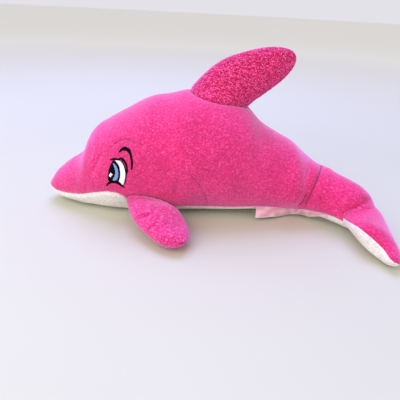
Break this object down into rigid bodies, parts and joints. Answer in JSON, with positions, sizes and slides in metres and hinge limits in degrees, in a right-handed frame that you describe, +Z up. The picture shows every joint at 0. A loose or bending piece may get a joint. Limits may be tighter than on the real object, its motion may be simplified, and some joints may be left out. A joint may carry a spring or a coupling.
{
  "type": "plush dolphin",
  "caption": "Soft plush dolphin lying on its belly, tail bent to one side, with a dorsal fin, two flippers, a fluke and embroidered eyes.",
  "frame": {"origin": "centre of the bounding box, on the surface that the dolphin lies on", "axes": "+X from the snout to the tail, +Y to the dolphin's right side, +Z up"},
  "size_m": [0.296, 0.1918, 0.143],
  "materials": {
    "pink_plush": "short-pile hot pink plush",
    "fin_plush": "curly deep pink plush, a little longer in the pile",
    "white_plush": "short-pile off-white plush",
    "fibre": "loose polyester fibre filling",
    "black_thread": "satin-stitched embroidery thread",
    "blue_thread": "satin-stitched embroidery thread",
    "white_thread": "satin-stitched embroidery thread",
    "label_satin": "thin translucent satin ribbon"
  },
  "bodies": {
    "root": {"body_stuffing": "fibre", "belly_panel": "white_plush", "left_cheek_panel": "pink_plush", "right_cheek_panel": "pink_plush", "left_body_panel": "pink_plush", "right_body_panel": "pink_plush", "dorsal_fin_left_panel": "fin_plush", "dorsal_fin_right_panel": "fin_plush", "dorsal_fin_stuffing": "fibre", "left_flipper_upper_panel": "fin_plush", "left_flipper_lower_panel": "fin_plush", "left_flipper_stuffing": "fibre", "right_flipper_upper_panel": "fin_plush", "right_flipper_lower_panel": "fin_plush", "right_flipper_stuffing": "fibre", "fluke_upper_panel": "pink_plush", "fluke_lower_panel": "white_plush", "fluke_stuffing": "fibre", "left_eye_white": "white_thread", "left_iris": "blue_thread", "left_pupil": "black_thread", "left_highlight": "white_thread", "left_lash": "black_thread", "left_lower_lid": "black_thread", "left_brow": "black_thread", "right_eye_white": "white_thread", "right_iris": "blue_thread", "right_pupil": "black_thread", "right_highlight": "white_thread", "right_lash": "black_thread", "right_lower_lid": "black_thread", "right_brow": "black_thread", "care_label": "label_satin"}
  },
  "joints": []
}
